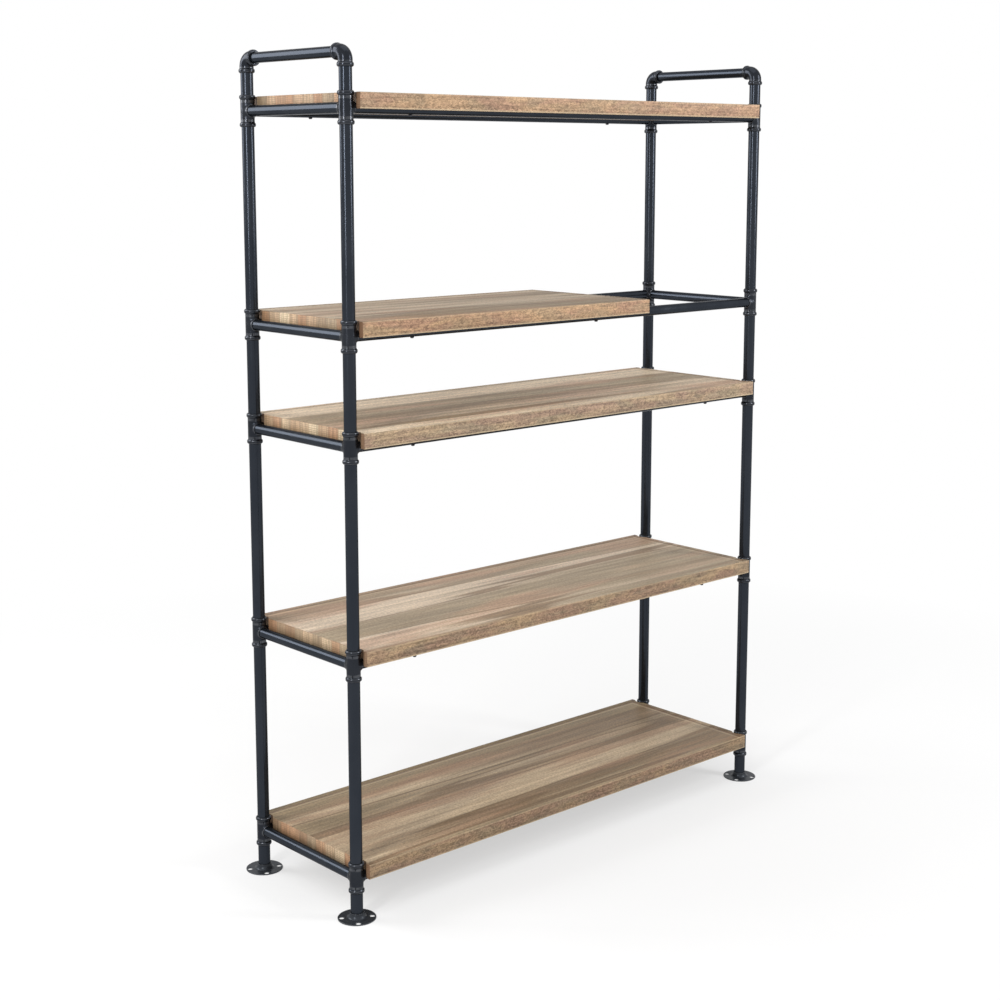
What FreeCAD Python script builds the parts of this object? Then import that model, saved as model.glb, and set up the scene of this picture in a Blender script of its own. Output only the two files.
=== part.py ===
import FreeCAD, Part
import os
import Sketcher

# Free-standing five-level bookshelf of pipe, cast fittings and wooden boards.
# Frame: +Z up, X along the boards, Y from front to back, millimetres.
# Origin: on the floor, at the centre of the four feet.

# Driving sizes. Every other length follows from these through expressions.
DRIVING_SIZES = {
    # Spacing of the post centre lines
    "post_spacing_long": 1258.0,
    "post_spacing_deep": 347.0,
    # Rises from the floor to the lowest castings, and from one level's casting centres to the next
    "rise_to_five": 92.0,
    "rise_to_four": 466.0,
    "rise_to_three": 460.0,
    "rise_to_two": 228.0,
    "rise_to_one": 456.0,
    "rise_to_handle": 110.0,
    # Three-quarter inch pipe for the posts, a slimmer tube for the bars
    "post_dia": 26.9,
    "post_wall": 2.6,
    "bar_dia": 23.0,
    "bar_wall": 2.3,
    "socket_gap": 0.15,
    # Tee casting
    "tee_height": 66.5,
    "casting_dia": 30.0,
    "collar_dia": 34.5,
    "collar_height": 8.5,
    "collar_shoulder": 2.2,
    "run_socket_depth": 15.0,
    "waterway_dia": 19.0,
    "outlet_dia": 26.4,
    "outlet_reach": 16.5,
    "outlet_socket_depth": 4.5,
    "outlet_chamfer": 1.0,
    # Elbow casting
    "elbow_reach": 30.25,
    "elbow_bend": 18.0,
    "elbow_socket_depth": 11.0,
    # Floor flange
    "flange_dia": 83.0,
    "flange_thickness": 2.5,
    "hub_base_dia": 42.0,
    "hub_top_dia": 31.5,
    "hub_height": 14.0,
    "hub_sag": 1.6,
    "hub_seat": 4.0,
    "bolt_circle_dia": 66.0,
    "bolt_hole_dia": 11.0,
    # Boards
    "board_end_gap": 0.55,
    "board_overhang": 28.0,
    "board_thickness": 32.5,
    "groove_depth": 13.35,
    "groove_gap": 0.35,
    "edge_easing": 2.0,
    "notch_gap": 0.5,
    "short_board_length": 845.0,
    # Board screws, up through the rails
    "screw_dia": 4.5,
    "screw_head_dia": 9.0,
    "screw_head_height": 2.8,
    "screw_grip": 14.0,
    "screw_inset": 150.0,
    "screw_hole_gap": 0.25,
    # One overrun serves every cut
    "cut_overrun": 5.0,
}

# The flanges are screwed on until tight, so each stops at its own angle, in degrees
FLANGE_TURNS = {"front_left": -32.0, "front_right": -63.0, "back_left": -26.0, "back_right": -45.0}
BOLT_HOLES = 4
FULL_TURN = 360.0
QUARTER_TURN = 90.0
# Two points nearer than this are the same corner of a drawing
SAME_POINT = 1e-6

# Levels of boards, from the floor up
LEVELS = ("five", "four", "three", "two", "one")
# Corner name: side along X, side along Y, turn of a casting whose outlets point to +X and +Y
CORNERS = {
    "front_left": (-1, -1, 0),
    "front_right": (1, -1, QUARTER_TURN),
    "back_right": (1, 1, 2 * QUARTER_TURN),
    "back_left": (-1, 1, 3 * QUARTER_TURN),
}

doc = FreeCAD.newDocument("PipeBookshelf")
sheet = doc.addObject("Spreadsheet::Sheet", "Sizes")
for row, (alias, millimetres) in enumerate(DRIVING_SIZES.items(), 1):
    sheet.set("A%d" % row, alias)
    sheet.set("B%d" % row, str(millimetres))
    sheet.setAlias("B%d" % row, alias)
doc.recompute()


class Length:
    """A length and its expression, so that drawing and binding come from one formula."""

    def __init__(self, value, text):
        self.value = value
        self.text = text

    def __add__(self, other):
        return Length(self.value + other.value, "(%s + %s)" % (self.text, other.text))

    def __sub__(self, other):
        return Length(self.value - other.value, "(%s - %s)" % (self.text, other.text))

    def __mul__(self, factor):
        return Length(self.value * factor, "(%s * %s)" % (self.text, factor))

    def __truediv__(self, factor):
        return Length(self.value / factor, "(%s / %s)" % (self.text, factor))

    def __neg__(self):
        return self * -1


def size(alias):
    return Length(DRIVING_SIZES[alias], "Sizes." + alias)


ZERO = Length(0.0, "0")


def arc_radius(chord, rise):
    """Radius of the arc that stands off its chord by the rise."""
    half = chord / 2
    value = (half.value ** 2 + rise.value ** 2) / (2 * rise.value)
    return Length(value, "(%s^2 + %s^2) / (2 * %s)" % (half.text, rise.text, rise.text))


def slant(across, up):
    """Length of a slanted line from how far it goes across and up."""
    value = (across.value ** 2 + up.value ** 2) ** 0.5
    return Length(value, "sqrt(%s^2 + %s^2)" % (across.text, up.text))


# Bodies, drawings and features

def origin_item(body, role):
    """One of the body's own origin planes or axes."""
    return [item for item in body.Origin.OriginFeatures if item.Role == role][0]


def body_named(label):
    body = doc.addObject("PartDesign::Body", label)
    body.Label = label
    return body


def sketch_on(body, role, offset=ZERO):
    """New sketch on one of the body's own origin planes, lifted off it by the offset."""
    sketch = body.newObject("Sketcher::SketchObject", body.Name + "_sketch")
    sketch.AttachmentSupport = [(origin_item(body, role), "")]
    sketch.MapMode = "FlatFace"
    sketch.setExpression("AttachmentOffset.Base.z", offset.text)
    return sketch


def constrain(sketch, length, kind, *where):
    number = sketch.addConstraint(Sketcher.Constraint(kind, *where, length.value))
    sketch.setExpression("Constraints[%d]" % number, length.text)


def pin_point(sketch, index, end, u, v):
    constrain(sketch, u, "DistanceX", -1, 1, index, end)
    constrain(sketch, v, "DistanceY", -1, 1, index, end)


def end_at(sketch, index, point):
    """Which end of a line or arc lies at the point: 1 is its start, 2 its end."""
    return 1 if sketch.Geometry[index].StartPoint.isEqual(point, SAME_POINT) else 2


def draw_outline(sketch, corners, arcs=()):
    """Closed outline through the corners. arcs holds {side: (bulge to the right, chord, rise)}."""
    points = [FreeCAD.Vector(u.value, v.value, 0) for u, v in corners]
    following = points[1:] + points[:1]
    for side, (start, stop) in enumerate(zip(points, following)):
        if side in arcs:
            to_right, chord, rise = arcs[side]
            along = stop - start
            right = FreeCAD.Vector(along.y, -along.x, 0).normalize()
            middle = (start + stop) * 0.5 + right * (rise.value if to_right else -rise.value)
            ends = (start, stop) if to_right else (stop, start)
            sketch.addGeometry(Part.Arc(ends[0], middle, ends[1]), False)
            constrain(sketch, arc_radius(chord, rise), "Radius", side)
        else:
            sketch.addGeometry(Part.LineSegment(start, stop), False)
    for side, point in enumerate(following):
        after = (side + 1) % len(points)
        meeting = (side, end_at(sketch, side, point), after, end_at(sketch, after, point))
        sketch.addConstraint(Sketcher.Constraint("Coincident", *meeting))
    for side, (u, v) in enumerate(corners):
        pin_point(sketch, side, end_at(sketch, side, points[side]), u, v)
    return sketch


def draw_circle(sketch, u, v, diameter):
    centre = FreeCAD.Vector(u.value, v.value, 0)
    index = sketch.addGeometry(Part.Circle(centre, FreeCAD.Vector(0, 0, 1), diameter.value / 2), False)
    pin_point(sketch, index, 3, u, v)
    constrain(sketch, diameter, "Diameter", index)
    return sketch


def draw_bend(sketch, reach, bend):
    """Path of a right-angled bend: up to the corner of its centre lines, round it and along."""
    turn = FreeCAD.Vector(bend.value, -bend.value, 0)
    low = FreeCAD.Vector(0, -bend.value, 0)
    high = FreeCAD.Vector(bend.value, 0, 0)
    middle = turn - FreeCAD.Vector(turn).normalize() * bend.value
    sketch.addGeometry(Part.LineSegment(FreeCAD.Vector(0, -reach.value, 0), low), False)
    sketch.addGeometry(Part.Arc(high, middle, low), False)
    sketch.addGeometry(Part.LineSegment(high, FreeCAD.Vector(reach.value, 0, 0)), False)
    sketch.addConstraint(Sketcher.Constraint("Coincident", 0, 2, 1, 2))
    sketch.addConstraint(Sketcher.Constraint("Coincident", 2, 1, 1, 1))
    pin_point(sketch, 0, 1, ZERO, -reach)
    pin_point(sketch, 0, 2, ZERO, -bend)
    pin_point(sketch, 2, 1, bend, ZERO)
    pin_point(sketch, 2, 2, reach, ZERO)
    constrain(sketch, bend, "Radius", 1)
    return sketch


def finish(body, feature):
    body.Tip = feature
    return feature


def revolve(body, kind, sketch, axis):
    """Turn a sketch right round one of its axes. The kind is Revolution or Groove."""
    feature = body.newObject("PartDesign::" + kind, body.Name + "_" + kind.lower())
    feature.Profile = sketch
    feature.ReferenceAxis = (sketch, [axis])
    feature.Angle = FULL_TURN
    return finish(body, feature)


def pad(body, sketch, length, midplane=False):
    feature = body.newObject("PartDesign::Pad", body.Name + "_pad")
    feature.Profile = sketch
    feature.setExpression("Length", length.text)
    feature.Midplane = midplane
    return finish(body, feature)


def cut_through(body, sketch):
    """Cut a sketch through the whole body, both ways from its plane."""
    feature = body.newObject("PartDesign::Pocket", body.Name + "_cut")
    feature.Profile = sketch
    feature.Type = "ThroughAll"
    feature.Midplane = True
    return finish(body, feature)


def sweep(body, kind, profile, path):
    """Sweep a profile sketch along a path sketch. The kind is AdditivePipe or SubtractivePipe."""
    feature = body.newObject("PartDesign::" + kind, body.Name + "_" + kind.lower())
    feature.Profile = profile
    feature.Spine = path
    return finish(body, feature)


def place(item, x, y, z, turn=0.0):
    item.Placement = FreeCAD.Placement(
        FreeCAD.Vector(x.value, y.value, z.value), FreeCAD.Rotation(FreeCAD.Vector(0, 0, 1), turn))
    item.setExpression("Placement.Base.x", x.text)
    item.setExpression("Placement.Base.y", y.text)
    item.setExpression("Placement.Base.z", z.text)
    return item


# Places and seats that several pieces share

def level_height(level):
    """Height of a level's casting centres: the rises up to it, added up."""
    height = ZERO
    for below in LEVELS[:LEVELS.index(level) + 1]:
        height = height + size("rise_to_" + below)
    return height


HANDLE_HEIGHT = level_height("one") + size("rise_to_handle")


def corner_x(corner):
    return size("post_spacing_long") / 2 * CORNERS[corner][0]


def corner_y(corner):
    return size("post_spacing_deep") / 2 * CORNERS[corner][1]


# Where the pipes stop, measured from the centre of the casting that holds them
RUN_SEAT = size("tee_height") / 2 - size("run_socket_depth")
OUTLET_SEAT = size("outlet_reach") - size("outlet_socket_depth")
ELBOW_SEAT = size("elbow_reach") - size("elbow_socket_depth")
POST_SOCKET_DIA = size("post_dia") + size("socket_gap") * 2
BAR_SOCKET_DIA = size("bar_dia") + size("socket_gap") * 2
BAR_BORE_DIA = size("bar_dia") - size("bar_wall") * 2
POST_BORE_DIA = size("post_dia") - size("post_wall") * 2


# Castings

def collar(body, role, near, far):
    """Raised band with sloping shoulders round a casting, between two places up the drawing."""
    rim = size("casting_dia") / 2
    lip = size("collar_dia") / 2
    shoulder = size("collar_shoulder")
    corners = [(ZERO, near), (rim, near), (lip, near + shoulder)]
    corners += [(lip, far - shoulder), (rim, far), (ZERO, far)]
    revolve(body, "Revolution", draw_outline(sketch_on(body, role), corners), "V_Axis")


def socket(body, role, axis, seat, mouth, diameter):
    """Round socket from its seat to a little beyond its mouth."""
    wall = diameter / 2
    corners = [(ZERO, seat), (wall, seat), (wall, mouth), (ZERO, mouth)]
    if axis == "H_Axis":
        corners = [(v, u) for u, v in corners]
    revolve(body, "Groove", draw_outline(sketch_on(body, role), corners), axis)


def tee(level, corner):
    """Upright sleeve with two collars, and one outlet each for the rail and the side bar."""
    body = body_named("tee_%s_%s" % (level, corner))
    half = size("tee_height") / 2
    band = size("collar_height")
    pad(body, draw_circle(sketch_on(body, "XY_Plane"), ZERO, ZERO, size("casting_dia")), half * 2, True)
    collar(body, "XZ_Plane", half - band, half)
    collar(body, "XZ_Plane", -half, band - half)
    reach = size("outlet_reach")
    mouth = size("outlet_dia") / 2
    bevel = size("outlet_chamfer")
    outlet = [(ZERO, ZERO), (reach, ZERO), (reach, mouth - bevel), (reach - bevel, mouth), (ZERO, mouth)]
    revolve(body, "Revolution", draw_outline(sketch_on(body, "XY_Plane"), outlet), "H_Axis")
    outlet = [(v, u) for u, v in outlet]
    revolve(body, "Revolution", draw_outline(sketch_on(body, "XY_Plane"), outlet), "V_Axis")
    beyond = half + size("cut_overrun")
    socket(body, "XZ_Plane", "V_Axis", -beyond, beyond, size("waterway_dia"))
    socket(body, "XZ_Plane", "V_Axis", RUN_SEAT, beyond, POST_SOCKET_DIA)
    socket(body, "XZ_Plane", "V_Axis", -beyond, -RUN_SEAT, POST_SOCKET_DIA)
    beyond = reach + size("cut_overrun")
    for axis in ("H_Axis", "V_Axis"):
        socket(body, "XY_Plane", axis, ZERO, beyond, BAR_BORE_DIA)
        socket(body, "XY_Plane", axis, OUTLET_SEAT, beyond, BAR_SOCKET_DIA)
    return place(body, corner_x(corner), corner_y(corner), level_height(level), CORNERS[corner][2])


def elbow(corner):
    """Bend from the top of a post, below, to the handle bar, towards the other post."""
    body = body_named("elbow_" + corner)
    reach = size("elbow_reach")
    bend = size("elbow_bend")
    band = size("collar_height")
    path = draw_bend(sketch_on(body, "YZ_Plane"), reach, bend)
    profile = draw_circle(sketch_on(body, "XY_Plane", -reach), ZERO, ZERO, size("casting_dia"))
    sweep(body, "AdditivePipe", profile, path)
    collar(body, "XZ_Plane", -reach, band - reach)
    collar(body, "XY_Plane", reach - band, reach)
    profile = draw_circle(sketch_on(body, "XY_Plane", -reach), ZERO, ZERO, size("waterway_dia"))
    sweep(body, "SubtractivePipe", profile, path)
    beyond = reach + size("cut_overrun")
    socket(body, "XZ_Plane", "V_Axis", -beyond, -ELBOW_SEAT, POST_SOCKET_DIA)
    socket(body, "XY_Plane", "V_Axis", ELBOW_SEAT, beyond, BAR_SOCKET_DIA)
    turn = 2 * QUARTER_TURN if corner.startswith("back") else 0
    return place(body, corner_x(corner), corner_y(corner), HANDLE_HEIGHT, turn)


def floor_flange(corner):
    """Round foot: a thin disc with a hollow hub for the post and four bolt holes."""
    body = body_named("floor_flange_" + corner)
    rim = size("flange_dia") / 2
    thick = size("flange_thickness")
    base = size("hub_base_dia") / 2
    top = size("hub_top_dia") / 2
    tall = size("hub_height")
    seat = size("hub_seat")
    bore = POST_BORE_DIA / 2
    wall = POST_SOCKET_DIA / 2
    corners = [(bore, ZERO), (rim, ZERO), (rim, thick), (base, thick)]
    corners += [(top, tall), (wall, tall), (wall, seat), (bore, seat)]
    slope = slant(base - top, tall - thick)
    arc = (False, slope, size("hub_sag"))
    revolve(body, "Revolution", draw_outline(sketch_on(body, "XZ_Plane"), corners, {3: arc}), "V_Axis")
    circle = size("bolt_circle_dia") / 2
    cut = cut_through(body, draw_circle(sketch_on(body, "XY_Plane"), circle, ZERO, size("bolt_hole_dia")))
    pattern = body.newObject("PartDesign::PolarPattern", body.Name + "_pattern")
    pattern.Originals = [cut]
    pattern.Axis = (origin_item(body, "Z_Axis"), [""])
    pattern.Angle = FULL_TURN
    pattern.Occurrences = BOLT_HOLES
    finish(body, pattern)
    return place(body, corner_x(corner), corner_y(corner), ZERO, FLANGE_TURNS[corner])


# Pipes

def pipe(label, role, diameter, bore, length):
    """Straight pipe centred on its own origin."""
    body = body_named(label)
    sketch = sketch_on(body, role)
    draw_circle(sketch, ZERO, ZERO, diameter)
    draw_circle(sketch, ZERO, ZERO, bore)
    pad(body, sketch, length, True)
    return body


def post(corner):
    """The pipe sections of one post, from the flange up through the castings to the elbow."""
    stops = []
    low = size("hub_seat")
    for level in LEVELS:
        stops.append((low, level_height(level) - RUN_SEAT))
        low = level_height(level) + RUN_SEAT
    stops.append((low, HANDLE_HEIGHT - ELBOW_SEAT))
    sections = []
    for number, (low, high) in enumerate(stops, 1):
        name = "post_%s_section_%d" % (corner, number)
        tube = []
        for kind, diameter in (("outside", size("post_dia")), ("bore", POST_BORE_DIA)):
            cylinder = doc.addObject("Part::Cylinder", name + "_" + kind)
            cylinder.setExpression("Radius", (diameter / 2).text)
            cylinder.setExpression("Height", (high - low).text)
            cylinder.setExpression("Placement.Base.z", low.text)
            tube.append(cylinder)
        section = doc.addObject("Part::Cut", name)
        section.Base, section.Tool = tube
        sections.append(section)
    group = doc.addObject("Part::Compound", "post_" + corner)
    group.Label = "post_" + corner
    group.Links = sections
    return place(group, corner_x(corner), corner_y(corner), ZERO)


def rail(level, side):
    """Pipe under the front or back edge of a board, with holes for the board screws."""
    length = size("post_spacing_long") - OUTLET_SEAT * 2
    body = pipe("%s_rail_%s" % (side, level), "YZ_Plane", size("bar_dia"), BAR_BORE_DIA, length)
    holes = sketch_on(body, "XY_Plane")
    hole = size("screw_dia") + size("screw_hole_gap") * 2
    for x in screw_places(level):
        draw_circle(holes, x, ZERO, hole)
    cut_through(body, holes)
    return place(body, ZERO, corner_y(side + "_left"), level_height(level))


def cross_bar(label, seat, side, height):
    """Pipe from the front to the back of one side."""
    length = size("post_spacing_deep") - seat * 2
    body = pipe(label, "XZ_Plane", size("bar_dia"), BAR_BORE_DIA, length)
    return place(body, corner_x("front_" + side), ZERO, height)


# Boards and their screws

BOARD_INSET = size("post_dia") / 2 + size("board_end_gap")
BOARD_LEFT = BOARD_INSET - size("post_spacing_long") / 2
BOARD_SEAT = size("bar_dia") / 2


def board_length(level):
    if level == "two":
        return size("short_board_length")
    return size("post_spacing_long") - BOARD_INSET * 2


def screw_places(level):
    """Where the screws stand along a rail, at the same distance from both ends of the board."""
    return [BOARD_LEFT + size("screw_inset"), BOARD_LEFT + board_length(level) - size("screw_inset")]


def board(level):
    """Thick board with a round-topped groove over each rail and notches round the posts."""
    body = body_named("board_" + level)
    rail_line = size("post_spacing_deep") / 2
    half = rail_line + size("board_overhang")
    low = BOARD_SEAT - size("groove_depth")
    top = low + size("board_thickness")
    easing = size("edge_easing")
    reach = size("bar_dia") / 2 + size("groove_gap")
    spring = BOARD_SEAT - reach
    section = [(-half, low), (-half, top - easing), (easing - half, top)]
    section += [(half - easing, top), (half, top - easing), (half, low)]
    for line in (rail_line, -rail_line):
        section += [(line + reach, low), (line + reach, spring), (line, BOARD_SEAT)]
        section += [(line - reach, spring), (line - reach, low)]
    chord = slant(easing, easing)
    round_edge = (False, chord, easing - chord / 2)
    chord = slant(reach, reach)
    round_groove = (True, chord, reach - chord / 2)
    arcs = {1: round_edge, 3: round_edge}
    arcs.update({side: round_groove for side in (7, 8, 12, 13)})
    outline = draw_outline(sketch_on(body, "YZ_Plane"), section, arcs)
    length = board_length(level)
    pad(body, outline, length)
    notches = sketch_on(body, "XY_Plane")
    notch = (slant(size("outlet_reach"), size("outlet_dia") / 2) + size("notch_gap")) * 2
    ends = [-BOARD_INSET]
    if level != "two":
        ends.append(length + BOARD_INSET)
    for x in ends:
        for y in (corner_y("front_left"), corner_y("back_left")):
            draw_circle(notches, x, y, notch)
    cut_through(body, notches)
    hole = size("screw_dia") + size("screw_hole_gap") * 2
    pilots = sketch_on(body, "XY_Plane", BOARD_SEAT - size("cut_overrun"))
    for x in screw_places(level):
        for y in (corner_y("front_left"), corner_y("back_left")):
            draw_circle(pilots, x - BOARD_LEFT, y, hole)
    pocket = body.newObject("PartDesign::Pocket", body.Name + "_pilots")
    pocket.Profile = pilots
    pocket.Reversed = True
    pocket.setExpression("Length", (size("screw_grip") + size("cut_overrun")).text)
    finish(body, pocket)
    return place(body, BOARD_LEFT, ZERO, level_height(level))


def board_screw(level, side, x):
    """Pan-head screw, point up, with its head under the rail."""
    name = "screw_%s_%s_%s" % (level, side, "left" if x.value < 0 else "right")
    shank = doc.addObject("Part::Cylinder", name + "_shank")
    shank.setExpression("Radius", (size("screw_dia") / 2).text)
    shank.setExpression("Height", (BOARD_SEAT * 2 + size("screw_grip") - size("screw_hole_gap")).text)
    head = doc.addObject("Part::Cone", name + "_head")
    head.setExpression("Radius1", (size("screw_head_dia") / 2 - size("screw_head_height") / 2).text)
    head.setExpression("Radius2", (size("screw_head_dia") / 2).text)
    head.setExpression("Height", size("screw_head_height").text)
    head.setExpression("Placement.Base.z", (-size("screw_head_height")).text)
    screw = doc.addObject("Part::Fuse", name)
    screw.Base = shank
    screw.Tool = head
    return place(screw, x, corner_y(side + "_left"), level_height(level) - BOARD_SEAT)


def all_screws():
    group = doc.addObject("Part::Compound", "board_screws")
    group.Label = "board_screws"
    screws = []
    for level in LEVELS:
        for side in ("front", "back"):
            screws += [board_screw(level, side, x) for x in screw_places(level)]
    group.Links = screws
    return group


# The whole shelf

sub_parts = []
for corner in CORNERS:
    sub_parts += [floor_flange(corner), post(corner), elbow(corner)]
    sub_parts += [tee(level, corner) for level in LEVELS]
for side in ("left", "right"):
    sub_parts.append(cross_bar("handle_bar_" + side, ELBOW_SEAT, side, HANDLE_HEIGHT))
    for level in LEVELS:
        label = "side_bar_%s_%s" % (level, side)
        sub_parts.append(cross_bar(label, OUTLET_SEAT, side, level_height(level)))
for level in LEVELS:
    sub_parts += [rail(level, "front"), rail(level, "back"), board(level)]
sub_parts.append(all_screws())
doc.recompute()

CUTS = ("PartDesign::Groove", "PartDesign::Pocket", "PartDesign::SubtractivePipe")
for item in doc.Objects:
    if "Invalid" in item.State or "Error" in item.State:
        raise RuntimeError("%s failed: %s" % (item.Name, item.State))
    if item.TypeId in CUTS and item.Shape.Volume >= item.BaseFeature.Shape.Volume:
        raise RuntimeError("%s cuts nothing away" % item.Name)
for item in sub_parts:
    if item.Shape.isNull() or not item.Shape.isValid():
        raise RuntimeError("%s has no valid shape" % item.Label)

os.makedirs("parts", exist_ok=True)
for item in sub_parts:
    item.Shape.exportStep("parts/%s.step" % item.Label)
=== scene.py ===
import itertools
import math

import bmesh
import bpy
import numpy as np
from mathutils import Matrix, Vector


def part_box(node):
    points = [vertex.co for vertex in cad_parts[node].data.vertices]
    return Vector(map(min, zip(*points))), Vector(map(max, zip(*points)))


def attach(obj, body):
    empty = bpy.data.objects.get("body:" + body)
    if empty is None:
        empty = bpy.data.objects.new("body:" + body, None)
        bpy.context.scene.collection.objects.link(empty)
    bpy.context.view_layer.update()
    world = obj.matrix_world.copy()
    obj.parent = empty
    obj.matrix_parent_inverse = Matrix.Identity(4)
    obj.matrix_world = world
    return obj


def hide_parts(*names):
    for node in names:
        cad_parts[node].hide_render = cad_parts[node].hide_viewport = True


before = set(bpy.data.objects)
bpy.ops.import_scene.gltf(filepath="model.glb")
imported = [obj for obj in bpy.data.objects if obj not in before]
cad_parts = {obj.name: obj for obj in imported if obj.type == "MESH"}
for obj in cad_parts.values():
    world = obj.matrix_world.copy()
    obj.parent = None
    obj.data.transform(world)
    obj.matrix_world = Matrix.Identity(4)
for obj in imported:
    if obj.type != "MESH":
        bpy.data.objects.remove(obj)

bl_info = {
    "name": "Pipe Bookshelf",
    "version": (1, 0, 0),
    "blender": (4, 5, 0),
    "location": "3D View > Sidebar > Bookshelf",
    "description": "Dresses a bookshelf of dark pipe, cast fittings and oak boards",
    "category": "Add Mesh",
}

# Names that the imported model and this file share

ROOT = "root"
LEVELS = ("five", "four", "three", "two", "one")
# Turns of the castings at each corner, in degrees: tee, elbow and floor flange.
# The flanges are screwed on until tight, so each stops at its own angle.
CORNERS = {
    "front_left": (0, 0, -32),
    "front_right": (90, 0, -63),
    "back_right": (180, 180, -45),
    "back_left": (-90, 180, -26),
}

# The boards differ a little in tint: of their faces, and of their front and back edges. The tints also
# hold painted light and shade: the faces of boards three and four are lightened against the shade of the
# boards above, boards one and five are darkened where more light falls on them, and the edges of the lower
# boards are darkened as painted shade.
BOARD_TINTS_AND_LIGHT = {
    "five": ((0.80, 0.75, 0.66), (0.64, 0.65, 0.63)),
    "four": ((1.20, 1.20, 1.22), (0.76, 0.78, 0.77)),
    "three": ((1.36, 1.34, 1.30), (0.88, 0.95, 1.00)),
    "two": ((1.00, 0.98, 0.94), (1.02, 0.98, 0.94)),
    "one": ((0.95, 0.94, 0.91), (1.06, 1.04, 1.04)),
}

# Soft boxes: place, width and height in metres, power in watts. All are aimed at one place.
SOFT_BOXES = {
    "back_soft_box": ((-2.2, 2.5, 2.6), 1.5, 2.4, 78),
    "left_strip": ((-3.45, -1.15, 2.2), 0.42, 2.0, 54),
    "right_soft_box": ((1.9, -2.75, 2.3), 0.65, 2.0, 62),
    "top_soft_box": ((0.0, -0.3, 4.2), 3.0, 2.0, 24),
}
LAMP_TARGET = (0.0, 0.0, 0.95)
WORLD_FILL = 0.53
FLOOR_FADE = (0.8, 2.6)  # metres from the middle, over which the floor turns white

MM = 0.001
X, Y, Z = 0, 1, 2
POST_SIDES, BAR_SIDES = 64, 56
SMOOTH_BELOW = 50  # degrees between two faces
EDGE_PROBE = 0.8 * MM
EDGE_BULGE = (0.15, 0.45)  # bends per mm between which a casting's outer edges turn paler: rubbed coat and painted highlight
RIM_ROUNDING = 0.42  # as a share of a flange plate's thickness
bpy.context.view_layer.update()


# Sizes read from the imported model

def node_size(node):
    low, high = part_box(node)
    return high - low


def node_centre(node):
    low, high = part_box(node)
    return (low + high) / 2


POST_DIA = node_size("post_front_left").x
BAR_DIA = node_size("handle_bar_left").x
TEE_HEIGHT = node_size("tee_five_front_left").z
COLLAR_DIA = node_size("elbow_front_left").x
FLANGE_DIA = node_size("floor_flange_front_left").x
FLANGE_HEIGHT = node_size("floor_flange_front_left").z
HANDLE_HEIGHT = node_centre("handle_bar_left").z
ELBOW_REACH = HANDLE_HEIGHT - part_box("elbow_front_left")[0].z


def level_height(level):
    return node_centre("side_bar_%s_left" % level).z


def corner_place(corner):
    """Centre of a post."""
    centre = node_centre("post_" + corner)
    return centre.x, centre.y


# The sizes and colours that a user may change

def length_setting(name, value, description):
    return bpy.props.FloatProperty(
        name=name, default=value, description=description, subtype="DISTANCE", unit="LENGTH")


def colour_setting(name, value, description):
    return bpy.props.FloatVectorProperty(
        name=name, default=value, description=description, subtype="COLOR", size=3, min=0.0, max=1.0)


def share_setting(name, value, description):
    return bpy.props.FloatProperty(
        name=name, default=value, description=description, subtype="FACTOR", min=0.0, max=1.0)


def angle_setting(name, degrees, description):
    return bpy.props.FloatProperty(
        name=name, default=math.radians(degrees), description=description, subtype="ANGLE",
        unit="ROTATION")


class CastingSettings(bpy.types.PropertyGroup):
    """Forms of the tees, elbows and floor flanges."""
    sleeve_dia: length_setting("Sleeve", 30.0 * MM, "Outside diameter of the sleeve between the collars")
    collar_height: length_setting("Collar Height", 8.5 * MM, "Height of a collar band")
    collar_rounding: length_setting("Collar Rounding", 3.0 * MM, "Rounding of a collar's edges")
    outlet_dia: length_setting("Outlet", 26.4 * MM, "Outside diameter of an outlet for a bar")
    outlet_reach: length_setting("Outlet Reach", 16.5 * MM, "From the centre to the outlet's face")
    outlet_rounding: length_setting("Outlet Rounding", 1.2 * MM, "Rounding of an outlet's edge")
    fillet: length_setting("Fillet", 4.0 * MM, "Soft blend where an outlet meets the sleeve")
    band_fillet: length_setting("Band Fillet", 1.6 * MM, "Soft blend where a collar meets the sleeve")
    socket_depth: length_setting("Socket Depth", 15.0 * MM, "Depth of a post socket")
    bar_socket_depth: length_setting("Bar Socket Depth", 4.5 * MM, "Depth of a bar socket in a tee")
    elbow_socket_depth: length_setting("Elbow Socket Depth", 11.0 * MM, "Depth of an elbow's sockets")
    socket_gap: length_setting("Socket Gap", 0.15 * MM, "Gap between a pipe and its socket")
    mouth_easing: length_setting("Mouth Easing", 0.9 * MM, "Softening of a socket's mouth")
    waterway_dia: length_setting("Waterway", 19.0 * MM, "Bore between the sockets")
    elbow_bend: length_setting("Elbow Bend", 18.0 * MM, "Radius of the elbow's centre line")
    mesh_step: length_setting("Mesh Step", 1.1 * MM, "Spacing of the mesh on a casting")


class FlangeSettings(bpy.types.PropertyGroup):
    """Form of the floor flanges."""
    plate: length_setting("Plate", 2.5 * MM, "Thickness of the round plate")
    hub_base_dia: length_setting("Hub Base", 42.0 * MM, "Diameter of the hub where it leaves the plate")
    hub_top_dia: length_setting("Hub Top", 31.5 * MM, "Diameter of the hub at its top")
    hub_sag: length_setting("Hub Sag", 1.6 * MM, "How far the hub's side curves inwards")
    hub_seat: length_setting("Hub Seat", 4.0 * MM, "Height of the seat that the post stands on")
    bolt_circle_dia: length_setting("Bolt Circle", 66.0 * MM, "Diameter of the circle of bolt holes")
    bolt_hole_dia: length_setting("Bolt Hole", 11.0 * MM, "Diameter of a bolt hole")
    post_bore_dia: length_setting("Post Bore", 21.7 * MM, "Inside diameter of the post pipe")


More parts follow.
